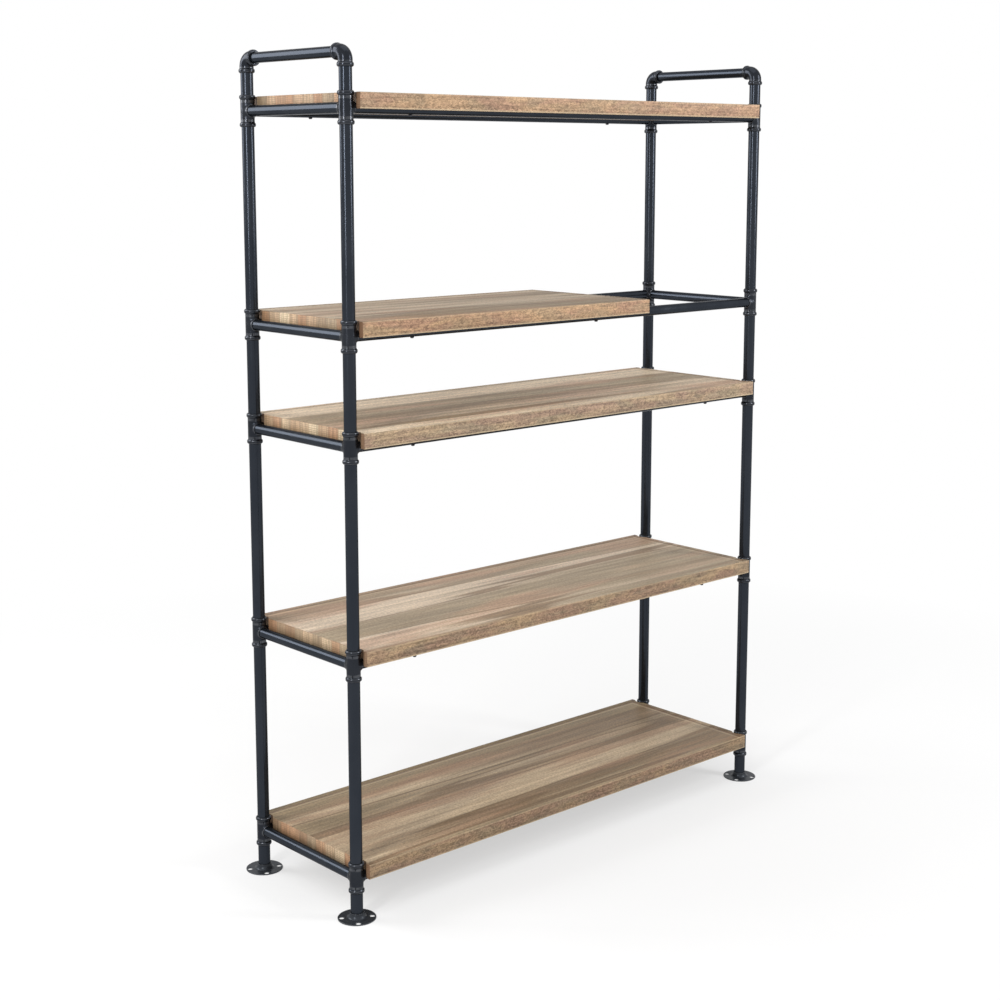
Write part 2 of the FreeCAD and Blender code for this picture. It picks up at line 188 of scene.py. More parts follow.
class BoardSettings(bpy.types.PropertyGroup):
    """Form and colours of the boards."""
    edging: length_setting("Edging", 18.5 * MM, "Width of the strips along the back and the right end")
    easing: length_setting("Easing", 2.0 * MM, "Rounding of the upper edges")
    low_easing: length_setting("Lower Easing", 0.8 * MM, "Rounding of the lower edges")
    seam_width: length_setting("Seam Width", 1.2 * MM, "Width of the groove along a seam")
    seam_depth: length_setting("Seam Depth", 0.5 * MM, "Depth of the groove along a seam")
    # The dark line beside a seam is partly stain and partly painted shade of the groove.
    seam_stain_and_shade: length_setting("Seam Stain", 4.2 * MM, "Reach of the dark stain beside a seam")
    groove_gap: length_setting("Groove Gap", 0.35 * MM, "Gap beside a rail in its groove")
    notch_gap: length_setting("Notch Gap", 0.5 * MM, "Gap between a notch and the outlets' rims")
    block_width: length_setting("Block Width", 34.0 * MM, "Width of the blocks in a board's end")
    pale: colour_setting("Pale Oak", (0.555, 0.450, 0.335), "Colour of the palest bands")
    brown: colour_setting("Brown Oak", (0.205, 0.138, 0.082), "Colour of the brown bands")
    grey: colour_setting("Olive Oak", (0.300, 0.235, 0.155), "Colour of the olive brown bands")
    blush: colour_setting("Blush Oak", (0.385, 0.240, 0.160), "Colour of the pinkish patches")
    edge: colour_setting("Edge Oak", (0.450, 0.300, 0.180), "Colour of the front and back edges")
    cream: colour_setting("Cream Oak", (0.640, 0.505, 0.330), "Colour of the light lines and blocks")
    grain: colour_setting("Grain", (0.110, 0.065, 0.042), "Colour of pores, seams and dark flecks")
    rust: colour_setting("Rust Oak", (0.420, 0.225, 0.120), "Colour of the reddest blocks in the ends")
    # Painted shade: the dark reddish brown of the notch walls and of the front of each end, where the
    # posts shade them.
    stain_and_shade: colour_setting("Stain", (0.150, 0.075, 0.040), "Colour of the notches and the front end block")


class MetalSettings(bpy.types.PropertyGroup):
    """Colours and finish of the pipes, castings and screws."""
    pipe: colour_setting("Pipe", (0.0275, 0.0325, 0.0415), "Coat of the pipes")
    pipe_worn: colour_setting("Pipe Patches", (0.042, 0.0475, 0.0580), "Paler patches on the pipes")
    pipe_rim: share_setting("Pipe Rim", 0.50, "The pipes' reflection at a flat angle")
    casting_rim: share_setting("Casting Rim", 0.68, "The castings' reflection at a flat angle")
    casting: colour_setting("Casting", (0.022, 0.0250, 0.0315), "Coat of the castings")
    casting_worn: colour_setting("Casting Patches", (0.044, 0.048, 0.056), "Paler patches on the castings")
    flange: colour_setting("Flange", (0.038, 0.0425, 0.0500), "Duller, paler coat of the floor flanges")
    flange_metallic: share_setting("Flange Metallic", 0.35, "As Metallic, for the floor flanges")
    # Paler outer edges of the castings: partly rubbed coat, partly a painted highlight on the rounded
    # collars and rims.
    rubbed_edge_and_highlight: colour_setting("Rubbed Edge", (0.110, 0.115, 0.125), "Outer edges of the castings")
    steel: colour_setting("Steel", (0.060, 0.060, 0.065), "Dark oxide on the screws")
    roughness: share_setting("Roughness", 0.19, "Roughness of the pipes")
    casting_roughness: share_setting("Casting Roughness", 0.22, "Roughness of the tees and elbows")
    flange_roughness: share_setting("Flange Roughness", 0.31, "Roughness of the floor flanges")
    pipe_grit: share_setting("Pipe Grit", 0.05, "Height of the fine grain on the pipes")
    cast_grit: share_setting("Cast Grit", 0.25, "Height of the grain of the cast surfaces")
    metallic: share_setting("Metallic", 0.75, "How much of the coat's light is a tinted mirror image")
    gloss: share_setting("Gloss", 0.12, "Strength of the coat's plain reflection")


class StageSettings(bpy.types.PropertyGroup):
    """Camera and floor."""
    camera_x: length_setting("Camera X", -2.693, "Camera's place along X")
    camera_y: length_setting("Camera Y", -2.916, "Camera's place along Y")
    camera_z: length_setting("Camera Z", 1.600, "Camera's height")
    turn: angle_setting("Turn", -42.07, "Direction that the camera looks in, from +Y")
    tilt: angle_setting("Tilt", 8.89, "How far the camera looks down")
    focal: bpy.props.FloatProperty(
        name="Focal Length", default=61.1, description="Focal length in millimetres on a 36 mm sensor")
    shift: bpy.props.FloatProperty(
        name="Shift", default=-0.075, description="Lens shift upwards, in picture widths")
    floor_colour: colour_setting("Floor", (0.90, 0.90, 0.90), "Colour of the floor")
    floor_radius: length_setting("Floor Radius", 9.0, "How far the floor reaches")
    floor_white: share_setting("Floor White", 0.55, "Share of plain white in the floor beside the shelf")


SETTINGS = {
    "casting": CastingSettings,
    "flange": FlangeSettings,
    "board": BoardSettings,
    "metal": MetalSettings,
    "stage": StageSettings,
}


def settings(name):
    return getattr(bpy.context.scene, "bookshelf_" + name)


# Small helpers for meshes and pieces

def new_object(name, data):
    made = bpy.data.objects.new(name, data)
    bpy.context.scene.collection.objects.link(made)
    return made


def hand_over(piece, slot, *nodes):
    """Hand over a finished piece: it rides on the one body and stands for these nodes, which it hides."""
    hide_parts(*nodes)
    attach(piece, ROOT)


def smooth_by_angle(mesh):
    mesh.shade_smooth()
    mesh.set_sharp_from_angle(angle=math.radians(SMOOTH_BELOW))


def settle_modifiers(piece):
    """Replace a piece's mesh by its evaluated one and take its modifiers off."""
    depsgraph = bpy.context.evaluated_depsgraph_get()
    mesh = bpy.data.meshes.new_from_object(piece.evaluated_get(depsgraph), depsgraph=depsgraph)
    mesh.name = piece.name
    piece.modifiers.clear()
    piece.data = mesh
    if not mesh.polygons:
        raise RuntimeError("%s came out empty" % piece.name)


# Castings are drawn as distances to their surface, so that every meeting gets a soft fillet

def rounded_rod(points, axis, low, high, radius, rounding=0.0):
    """Distance to a round bar along one axis, with rounded rims."""
    across = np.linalg.norm(np.delete(points, axis, 1), axis=1)
    side = across - (radius - rounding)
    end = np.abs(points[:, axis] - (low + high) / 2) - ((high - low) / 2 - rounding)
    outside = np.hypot(np.maximum(side, 0), np.maximum(end, 0))
    return outside + np.minimum(np.maximum(side, end), 0) - rounding


def join(first, second, fillet):
    """Union of two forms with a fillet where they meet."""
    share = np.clip(0.5 + 0.5 * (second - first) / fillet, 0, 1)
    return second + (first - second) * share - fillet * share * (1 - share)


def carve(form, hole, easing):
    """Cut a hole out of a form, with its rim eased."""
    return -join(-form, hole, easing)


def bend_distance(points, reach, bend):
    """Distance to the centre line of an elbow: up from below, round and along +Y."""
    x, y, z = points.T
    below = np.hypot(x, y) + np.maximum(z + bend, 0)
    beyond = np.hypot(x, z) + np.maximum(bend - y, 0)
    ring = np.hypot(np.hypot(y - bend, z + bend) - bend, x)
    ring = np.where((y <= bend) & (z >= -bend), ring, reach)
    return np.minimum(np.minimum(below, beyond), ring)


def surface_net(distance, low, high, step):
    """Points and quads where the distance is zero: one point in each cell that the surface crosses."""
    counts = [int(math.ceil((high[i] - low[i]) / step)) + 1 for i in range(3)]
    lines = [low[i] + step * np.arange(counts[i]) for i in range(3)]
    grid = np.stack(np.meshgrid(*lines, indexing="ij"), -1).reshape(-1, 3)
    inside = (distance(grid) < 0).reshape(counts)
    corners = sum(
        inside[i:counts[0] - 1 + i, j:counts[1] - 1 + j, k:counts[2] - 1 + k].astype(int)
        for i, j, k in itertools.product((0, 1), repeat=3))
    crossed = (corners > 0) & (corners < 8)
    number = np.full(crossed.shape, -1)
    number[crossed] = np.arange(crossed.sum())
    points = np.array(low) + step * (np.argwhere(crossed) + 0.5)
    quads = []
    for axis in range(3):
        second, third = (axis + 1) % 3, (axis + 2) % 3
        near = np.take(inside, range(counts[axis] - 1), axis)
        far = np.take(inside, range(1, counts[axis]), axis)
        cells = np.argwhere(near != far)
        corner_cells = []
        for back_second, back_third in ((1, 1), (0, 1), (0, 0), (1, 0)):
            shifted = cells.copy()
            shifted[:, second] -= back_second
            shifted[:, third] -= back_third
            corner_cells.append(number[tuple(shifted.T)])
        ring = np.stack(corner_cells, 1)
        outwards = near[tuple(cells.T)]
        quads.append(np.where(outwards[:, None], ring, ring[:, ::-1]))
    return points, np.concatenate(quads)


def settle_on_surface(points, distance, step):
    """Move points along the slope of the distance until they lie on the surface."""
    probe = step * 0.05
    for _ in range(4):
        rises = [distance(points + side) - distance(points - side) for side in np.eye(3) * probe]
        slope = np.stack(rises, 1) / (2 * probe)
        steep = np.maximum((slope ** 2).sum(1), 0.25)
        points = points - (distance(points) / steep)[:, None] * slope
    return points


def cast_mesh(name, distance, low, high, material):
    """Smooth closed mesh of a casting, evened out in a few rounds, with its wear and painted highlight on
    the outer edges as an attribute.
    """
    step = settings("casting").mesh_step
    margin = step * 2
    points, quads = surface_net(distance, [v - margin for v in low], [v + margin for v in high], step)
    points = settle_on_surface(points, distance, step)
    mesh = bpy.data.meshes.new(name)
    mesh.from_pydata(points.tolist(), [], quads.tolist())
    for _ in range(3):
        soft = bmesh.new()
        soft.from_mesh(mesh)
        bmesh.ops.smooth_vert(
            soft, verts=soft.verts, factor=0.5, use_axis_x=True, use_axis_y=True, use_axis_z=True)
        soft.to_mesh(mesh)
        soft.free()
        points = np.array([v.co for v in mesh.vertices])
        points = settle_on_surface(points, distance, step)
        mesh.vertices.foreach_set("co", points.astype(np.float32).ravel())
    mesh.update()
    smooth_by_angle(mesh)
    mesh.attributes.new("wear", "FLOAT", "POINT").data.foreach_set("value", outer_edges(points, distance))
    mesh.materials.append(material)
    return mesh


def outer_edges(points, distance):
    """One on the rounded outer edges of a casting, where the coat is painted paler as rubbed wear and as a
    painted highlight, and zero elsewhere.
    """
    sides = np.eye(3) * EDGE_PROBE
    bulge = sum(distance(points + side) + distance(points - side) for side in sides) / EDGE_PROBE ** 2
    return np.interp(bulge * MM, EDGE_BULGE, (0, 1)).astype(np.float32)


def tee_mesh(material):
    """Sleeve with a rounded collar at both ends and outlets to +X and +Y, with all its sockets."""
    s = settings("casting")
    half = TEE_HEIGHT / 2
    rim = COLLAR_DIA / 2
    far = TEE_HEIGHT
    post_hole = POST_DIA / 2 + s.socket_gap
    bar_hole = BAR_DIA / 2 + s.socket_gap
    collars = ((half - s.collar_height, half), (-half, s.collar_height - half))
    holes = [(Z, -far, far, s.waterway_dia / 2)]
    holes += [(Z, half - s.socket_depth, far, post_hole), (Z, -far, s.socket_depth - half, post_hole)]
    holes += [(axis, s.outlet_reach - s.bar_socket_depth, far, bar_hole) for axis in (X, Y)]

    def distance(p):
        form = rounded_rod(p, Z, -half, half, s.sleeve_dia / 2)
        for low, high in collars:
            form = join(form, rounded_rod(p, Z, low, high, rim, s.collar_rounding), s.band_fillet)
        for axis in (X, Y):
            outlet = rounded_rod(p, axis, 0, s.outlet_reach, s.outlet_dia / 2, s.outlet_rounding)
            form = join(form, outlet, s.fillet)
        for hole in holes:
            form = carve(form, rounded_rod(p, *hole), s.mouth_easing)
        return form

    return cast_mesh("tee", distance, (-rim, -rim, -half), (rim, rim, half), material)


def elbow_mesh(material):
    """Bend with a rounded collar at both ends: one mouth down, the other to +Y."""
    s = settings("casting")
    rim = COLLAR_DIA / 2
    reach = ELBOW_REACH
    far = reach * 2
    seat = reach - s.elbow_socket_depth
    collars = ((Z, -reach, s.collar_height - reach), (Y, reach - s.collar_height, reach))
    sockets = ((Z, -far, -seat, POST_DIA / 2 + s.socket_gap), (Y, seat, far, BAR_DIA / 2 + s.socket_gap))

    def distance(p):
        line = bend_distance(p, far, s.elbow_bend)
        ends = np.maximum(-p[:, Z] - reach, p[:, Y] - reach)
        form = np.maximum(line - s.sleeve_dia / 2, ends)
        for collar in collars:
            form = join(form, rounded_rod(p, *collar, rim, s.collar_rounding), s.band_fillet)
        form = carve(form, line - s.waterway_dia / 2, s.mouth_easing)
        for socket in sockets:
            form = carve(form, rounded_rod(p, *socket), s.mouth_easing)
        return form

    return cast_mesh("elbow", distance, (-rim, -rim, -reach), (rim, reach, rim), material)


def flange_mesh(material):
    """Round plate with eased rims, a waisted hub and four bolt holes."""
    s = settings("flange")
    casting = settings("casting")
    easing = casting.mouth_easing
    rim = FLANGE_DIA / 2
    tall = FLANGE_HEIGHT
    base = s.hub_base_dia / 2
    top = s.hub_top_dia / 2
    steep = math.cos(math.atan2(base - top, tall - s.plate))
    bores = (
        (Z, -tall, tall * 2, s.post_bore_dia / 2),
        (Z, s.hub_seat, tall * 2, POST_DIA / 2 + casting.socket_gap),
    )

    def distance(p):
        across = np.hypot(p[:, X], p[:, Y])
        up = np.clip((p[:, Z] - s.plate) / (tall - s.plate), 0, 1)
        waist = base + (top - base) * up - 4 * s.hub_sag * up * (1 - up)
        hub = np.maximum((across - waist) * steep, np.abs(p[:, Z] - tall / 2) - tall / 2)
        form = join(rounded_rod(p, Z, 0, s.plate, rim, s.plate * RIM_ROUNDING), hub, s.plate)
        for turn in (math.pi / 2 * quarter for quarter in range(4)):
            centre = np.array((math.cos(turn), math.sin(turn), 0)) * s.bolt_circle_dia / 2
            form = carve(form, rounded_rod(p - centre, Z, -tall, tall, s.bolt_hole_dia / 2), easing)
        for bore in bores:
            form = carve(form, rounded_rod(p, *bore), easing)
        return np.maximum(form, -p[:, Z])

    return cast_mesh("flange", distance, (-rim, -rim, 0), (rim, rim, tall), material)


# Node trees for what repeats

class NodeTree:
    """A node tree that is being built."""

    def node(self, kind, links=(), values=(), **attributes):
        """New node with its attributes, its own socket values and its links."""
        node = self.tree.nodes.new(kind)
        for key, value in attributes.items():
            setattr(node, key, value)
        for name, value in dict(values).items():
            node.inputs[name].default_value = value
        for name, source in dict(links).items():
            self.tree.links.new(source, node.inputs[name])
        return node


class TreeBuilder(NodeTree):
    """Builds a Geometry Nodes tree with named inputs and runs it on a piece."""

    def __init__(self, name):
        self.tree = bpy.data.node_groups.new(name, "GeometryNodeTree")
        for way in ("INPUT", "OUTPUT"):
            self.tree.interface.new_socket("Geometry", in_out=way, socket_type="NodeSocketGeometry")
        self.entry = self.node("NodeGroupInput")
        self.exit = self.node("NodeGroupOutput")
        self.values = {}

    def input(self, name, kind, value):
        """Named input of the tree. Returns the socket to link from."""
        item = self.tree.interface.new_socket(name, in_out="INPUT", socket_type=kind)
        self.values[item.identifier] = value
        return self.entry.outputs[name]

    def run_on(self, piece, geometry, material):
        """Close the tree with real copies in one material, and build the piece's plain mesh with it."""
        real = self.node("GeometryNodeRealizeInstances", {"Geometry": geometry})
        finish = self.input("Finish", "NodeSocketMaterial", material)
        painted = self.node("GeometryNodeSetMaterial", {"Geometry": real.outputs[0], "Material": finish})
        self.tree.links.new(painted.outputs[0], self.exit.inputs[0])
        modifier = piece.modifiers.new("Build", "NODES")
        modifier.node_group = self.tree
        for identifier, value in self.values.items():
            modifier[identifier] = value
        settle_modifiers(piece)


def pipe_run(name, runs, diameter, sides, material):
    """Pipes of one diameter. Each run is the two ends of a straight pipe."""
    points = [end for run in runs for end in run]
    edges = [(2 * i, 2 * i + 1) for i in range(len(runs))]
    mesh = bpy.data.meshes.new(name)
    mesh.from_pydata(points, edges, [])
    piece = new_object(name, mesh)
    tree = TreeBuilder("Pipes")
    radius = tree.input("Radius", "NodeSocketFloat", diameter / 2)
    count = tree.input("Sides", "NodeSocketInt", sides)
    ring = tree.node("GeometryNodeCurvePrimitiveCircle", {"Resolution": count, "Radius": radius})
    line = tree.node("GeometryNodeMeshToCurve", {"Mesh": tree.entry.outputs[0]})
    tube = tree.node(
        "GeometryNodeCurveToMesh", {"Curve": line.outputs[0], "Profile Curve": ring.outputs[0]},
        {"Fill Caps": True})
    tree.run_on(piece, tube.outputs[0], material)
    smooth_by_angle(piece.data)
    return piece


def castings_on_post(name, template, corner, heights, degrees, nodes):
    """Copies of a casting, one at each height on a post, as one piece that stands for these nodes."""
    x, y = corner_place(corner)
    mesh = bpy.data.meshes.new(name)
    mesh.from_pydata([(x, y, height) for height in heights], [], [])
    piece = new_object(name, mesh)
    pattern = bpy.data.objects.new(name + "_pattern", template)
    tree = TreeBuilder("Copies")
    info = tree.node(
        "GeometryNodeObjectInfo", {"Object": tree.input("Pattern", "NodeSocketObject", pattern)})
    upright = tree.node(
        "ShaderNodeCombineXYZ", {"Z": tree.input("Turn", "NodeSocketFloat", math.radians(degrees))})
    points = tree.node("GeometryNodeMeshToPoints", {"Mesh": tree.entry.outputs[0]})
    copies = tree.node("GeometryNodeInstanceOnPoints", {
        "Points": points.outputs[0],
        "Instance": info.outputs["Geometry"],
        "Rotation": upright.outputs[0],
    })
    tree.run_on(piece, copies.outputs[0], template.materials[0])
    bpy.data.objects.remove(pattern)
    hand_over(piece, "cast_fitting", *nodes)


# Materials

class Shader(NodeTree):
    """The nodes of one material or world. Places are the piece's own coordinates."""

    def __init__(self, owner):
        owner.use_nodes = True
        self.owner = owner
        self.tree = owner.node_tree
        self.surface = self.tree.nodes.get("Principled BSDF")
        self.places = self.node("ShaderNodeTexCoord").outputs["Object"]

    def set(self, **sockets):
        for name, value in sockets.items():
            self.surface.inputs[name.replace("_", " ")].default_value = value

    def feed(self, socket, value):
        """Link another node's output to a socket, or set the socket's own value."""
        if isinstance(value, bpy.types.NodeSocket):
            self.tree.links.new(value, socket)
        else:
            socket.default_value = value if socket.type == "VALUE" else (*value[:3], 1.0)

    def noise(self, scale, detail=4.0, roughness=0.5, distortion=0.0, offset=(0, 0, 0)):
        """Noise with so many waves in a metre along each axis."""
        values = {"Scale": scale, "Location": offset}
        mapping = self.node("ShaderNodeMapping", {"Vector": self.places}, values)
        values = {"Scale": 1.0, "Detail": detail, "Roughness": roughness, "Distortion": distortion}
        return self.node("ShaderNodeTexNoise", {"Vector": mapping.outputs[0]}, values).outputs["Fac"]

    def ramp(self, source, low, high, start=0.0, stop=1.0):
        """Map low..high of a value to start..stop, held at both ends."""
        values = {"From Min": low, "From Max": high, "To Min": start, "To Max": stop}
        return self.node("ShaderNodeMapRange", {"Value": source}, values).outputs[0]

    def patches(self, scale, low, high, start=0.0, stop=1.0, **kind):
        """Noise whose values from low to high are mapped to start..stop."""
        return self.ramp(self.noise(scale, **kind), low, high, start, stop)

    def mix(self, share, first, second, blend="MIX"):
        """Mix two colours. Each may be a colour or another node's output."""
        node = self.node("ShaderNodeMix", data_type="RGBA", blend_type=blend)
        colours = [socket for socket in node.inputs if socket.type == "RGBA"]
        for socket, value in zip((node.inputs["Factor"], *colours), (share, first, second)):
            self.feed(socket, value)
        return [socket for socket in node.outputs if socket.type == "RGBA"][0]

    def calc(self, operation, *values):
        node = self.node("ShaderNodeMath", operation=operation)
        for socket, value in zip(node.inputs, values):
            self.feed(socket, value)
        return node.outputs[0]

    def times(self, product, *factors):
        for factor in factors:
            product = self.calc("MULTIPLY", product, factor)
        return product

    def line(self, distance, reach):
        """One where the distance is near zero, fading to zero at the reach on both sides."""
        return self.ramp(self.calc("ABSOLUTE", distance), reach * 0.4, reach, 1.0, 0.0)

    def dim(self, colour, *shares):
        """A colour times each of these numbers or tints."""
        for share in shares:
            colour = self.mix(1.0, colour, share, "MULTIPLY")
        return colour

    def attribute(self, name):
        return self.node("ShaderNodeAttribute", attribute_name=name).outputs["Fac"]

    def seen_share(self):
        """One where a camera, glossy or transmission ray looks, else zero."""
        path = self.node("ShaderNodeLightPath")
        share = path.outputs["Is Camera Ray"]
        for name in ("Is Glossy Ray", "Is Transmission Ray"):
            share = self.calc("MAXIMUM", share, path.outputs[name])
        return share

    def paint(self, colour, roughness, height, depth):
        """Link the colour, the roughness and a bump of this depth. Returns the material."""
        bump = self.node("ShaderNodeBump", {"Height": height}, {"Distance": depth, "Strength": 1.0})
        sources = {"Base Color": colour, "Roughness": roughness, "Normal": bump.outputs[0]}
        for name, source in sources.items():
            self.tree.links.new(source, self.surface.inputs[name])
        return self.owner


def coat_material(name, coat, worn, metallic, rim, roughness, grit):
    """Satin coat on metal: faint clouding, a light orange peel, small rubbed places, and on castings paler
    outer edges that are partly wear and partly painted highlight.
    """
    s = settings("metal")
    shader = Shader(bpy.data.materials.new(name))
    shader.set(Metallic=metallic, Specular_IOR_Level=s.gloss, Specular_Tint=(rim, rim, rim, 1.0))
    clouds = shader.patches((18, 18, 9), 0.40, 0.72, detail=5.0)
    rubs = shader.patches((140, 140, 60), 0.58, 0.74, detail=6.0, roughness=0.65)
    paler = shader.calc("MAXIMUM", shader.times(clouds, 0.45), shader.times(rubs, 0.35))
    colour = shader.mix(paler, coat, worn)
    # Paler outer edges: rubbed coat together with a painted highlight.
    rubbed_and_highlight = shader.times(shader.attribute("wear"), shader.patches((90, 90, 90), 0.35, 0.65, 0.25, 0.75))
    colour = shader.mix(rubbed_and_highlight, colour, s.rubbed_edge_and_highlight)
    gloss = shader.ramp(clouds, 0.0, 1.0, roughness - 0.04, roughness + 0.08)
    peel = shader.times(shader.noise((900, 900, 900), detail=2.0), 0.04)
    cast = shader.times(shader.noise((260, 260, 260), detail=5.0, roughness=0.6), grit)
    return shader.paint(colour, gloss, shader.calc("ADD", peel, cast), 0.07 * MM)


def casting_coat():
    """The coat of the tees and elbows, made once."""
    s = settings("metal")
    return bpy.data.materials.get("casting_coat") or coat_material(
        "casting_coat", s.casting, s.casting_worn, s.metallic, s.casting_rim, s.casting_roughness,
        s.cast_grit)


def steel_material():
    """Dark oxide on steel, slightly mottled."""
    s = settings("metal")
    shader = Shader(bpy.data.materials.new("dark_steel"))
    shader.set(Metallic=1.0)
    spots = shader.noise((700, 700, 700))
    darker = [value * 0.72 for value in s.steel]
    colour = shader.mix(shader.ramp(spots, 0.35, 0.7), s.steel, darker)
    return shader.paint(colour, shader.ramp(spots, 0.3, 0.7, 0.36, 0.50), spots, 0.03 * MM)


def oak_face(shader, s, tint_and_light):
    """Top and underside: wide straight bands along X, streaks, pinkish patches and short flecks."""
    bands = shader.noise((0.25, 8.0, 8.0), detail=2.0, distortion=0.05)
    tone = shader.mix(shader.ramp(bands, 0.46, 0.54), s.pale, s.grey)
    joint = shader.line(shader.calc("SUBTRACT", bands, 0.5), 0.014)
    tone = shader.mix(shader.times(joint, 0.85), tone, s.brown)
    dark = shader.patches((0.55, 13, 13), 0.54, 0.64, 0.0, 0.75, distortion=0.12, offset=(3.1, 0.7, 1.9))
    tone = shader.mix(dark, tone, s.brown)
    cloud = shader.patches(
        (2.0, 15, 15), 0.51, 0.63, 0.0, 0.60, detail=5.0, distortion=0.3, offset=(1.7, 0.4, 0.9))
    tone = shader.mix(cloud, tone, s.blush)
    feather = shader.patches((4.0, 70, 70), 0.36, 0.64, 0.86, 1.14, detail=5.0, offset=(0, 2.1, 0.3))
    streaks = shader.patches((7.0, 230, 230), 0.38, 0.66, 1.08, 0.86, roughness=0.6)
    specks = shader.noise((170, 260, 260), detail=3.0, roughness=0.7)
    # Painted light and shade: the tint lightens or darkens the whole face by how much light reaches the
    # board.
    tone = shader.dim(tone, feather, streaks, shader.ramp(specks, 0.36, 0.64, 1.22, 0.74), tint_and_light)
    return shader.mix(shader.ramp(specks, 0.64, 0.74, 0.0, 0.50), tone, s.grain)


def oak_edge(shader, s, up, low, high, tint_and_light):
    """Front and back edges: mottled tan, olive and pinkish patches, with a light line at the foot."""
    blush = shader.patches((8.0, 30, 30), 0.42, 0.58, detail=3.0, distortion=0.6)
    tone = shader.mix(blush, s.edge, s.blush)
    olive = shader.patches(
        (11.0, 40, 40), 0.48, 0.60, 0.0, 0.45, detail=3.0, distortion=0.4, offset=(0.9, 0, 2.2))
    tone = shader.mix(olive, tone, s.grey)
    lines = shader.patches((9.0, 260, 260), 0.38, 0.66, 1.15, 0.75, roughness=0.6)
    worms = shader.patches(
        (105, 105, 165), 0.38, 0.62, 1.32, 0.66, detail=3.0, roughness=0.6, distortion=1.4)
    # Painted shade: the tint darkens the edges of the lower boards.
    tone = shader.dim(tone, lines, worms, tint_and_light)
    flecks = shader.patches(
        (95, 95, 380), 0.56, 0.64, 0.0, 0.85, detail=2.0, roughness=0.8, offset=(0, 0, 5.3))
    low_third = shader.ramp(up, low.z + 14 * MM, low.z + 6 * MM)
    tone = shader.mix(shader.times(flecks, low_third), tone, s.grain)
    top_line = shader.ramp(up, high.z - 3.5 * MM, high.z - 1.5 * MM, 0.0, 0.25)
    foot_line = shader.ramp(up, low.z + 3.5 * MM, low.z + 1.5 * MM, 0.0, 0.65)
    return shader.mix(shader.calc("MAXIMUM", top_line, foot_line), tone, s.cream)


def oak_end(shader, s, across, up, low, level):
    """Board ends: glued blocks of several browns, each with its own growth rings, and painted shade
    darkening the front of the end beside the post.
    """
    wander = shader.patches((0, 22, 9), 0.0, 1.0, 0.0, 0.6, detail=1.0)
    place = shader.calc("ADD", shader.calc("DIVIDE", across, s.block_width), wander)
    block = shader.calc("FLOOR", place)
    key = shader.node("ShaderNodeCombineXYZ", {"X": block}, {"Y": float(LEVELS.index(level))})
    dice = shader.node("ShaderNodeTexWhiteNoise", {"Vector": key.outputs[0]}, noise_dimensions="3D")
    first, second, third = shader.node("ShaderNodeSeparateColor", {"Color": dice.outputs["Color"]}).outputs
    tone = shader.mix(shader.ramp(first, 0.15, 0.85), s.edge, s.cream)
    tone = shader.mix(shader.ramp(second, 0.45, 0.70, 0.0, 0.90), tone, s.rust)
    tone = shader.mix(shader.ramp(third, 0.66, 0.74, 0.0, 0.60), tone, s.brown)
    tone = shader.dim(tone, shader.patches(
        (0, 190, 16), 0.36, 0.64, 1.28, 0.68, detail=5.0, roughness=0.6, distortion=0.4))
    past = shader.calc("SUBTRACT", place, block)
    joint = shader.line(shader.calc("SUBTRACT", past, 0.5), 0.5)
    tone = shader.mix(shader.ramp(joint, 0.20, 0.04, 0.0, 0.45), tone, s.brown)
    inside = shader.calc("SUBTRACT", past, third)
    heart = shader.node("ShaderNodeCombineXYZ", {
        "Y": shader.times(inside, s.block_width),
        "Z": shader.calc("ADD", up, shader.times(second, 0.06)),
    })
    rings = shader.node(
        "ShaderNodeTexWave", {"Vector": heart.outputs[0]},
        {"Scale": 75.0, "Distortion": 3.0, "Detail": 3.0, "Detail Scale": 1.5},
        wave_type="RINGS", rings_direction="X")
    tone = shader.mix(shader.times(rings.outputs["Fac"], 0.50), tone, s.brown)
    pores = shader.patches((500, 500, 500), 0.56, 0.68, 0.0, 0.45, detail=2.0, roughness=0.7)
    tone = shader.mix(pores, tone, s.grain)
    # Painted shade: the front of each end, beside the post, is darkened towards this colour.
    front_shade = shader.ramp(across, low.y + 30 * MM, low.y + 24 * MM, 0.0, 0.78)
    return shader.mix(front_shade, tone, s.stain_and_shade)


def oak_strips(shader, s, colour, along, across, up, high):
    """Strips along the back and the right end: darker, behind a dark line, and mitred at the corner. The
    dark line is the seam's stain together with painted shade of its shallow groove.
    """
    past_x = shader.calc("SUBTRACT", along, high.x - s.edging)
    past_y = shader.calc("SUBTRACT", across, high.y - s.edging)
    nearest = shader.calc("MAXIMUM", past_x, past_y)
    on_top = shader.ramp(up, high.z - 3 * MM, high.z - 1.5 * MM)
    colour = shader.dim(colour, shader.ramp(shader.times(nearest, on_top), 0.0, 1 * MM, 1.0, 0.78))
    inner_line = shader.line(shader.calc("ADD", nearest, s.seam_stain_and_shade * 1.8), s.seam_stain_and_shade)
    colour = shader.mix(shader.times(inner_line, on_top, 0.30), colour, s.cream)
    mitre = shader.line(shader.calc("SUBTRACT", past_x, past_y), s.seam_stain_and_shade)
    in_corner = shader.calc("GREATER_THAN", shader.calc("MINIMUM", past_x, past_y), 0.0)
    # Seam line: a dark stain and the painted shade of the seam's groove.
    stain_and_shade = shader.calc("MAXIMUM", shader.line(nearest, s.seam_stain_and_shade), shader.times(mitre, in_corner))
    broken = shader.patches((30, 30, 30), 0.35, 0.60, 0.65, 1.0)
    return shader.mix(shader.times(stain_and_shade, on_top, broken), colour, s.grain)


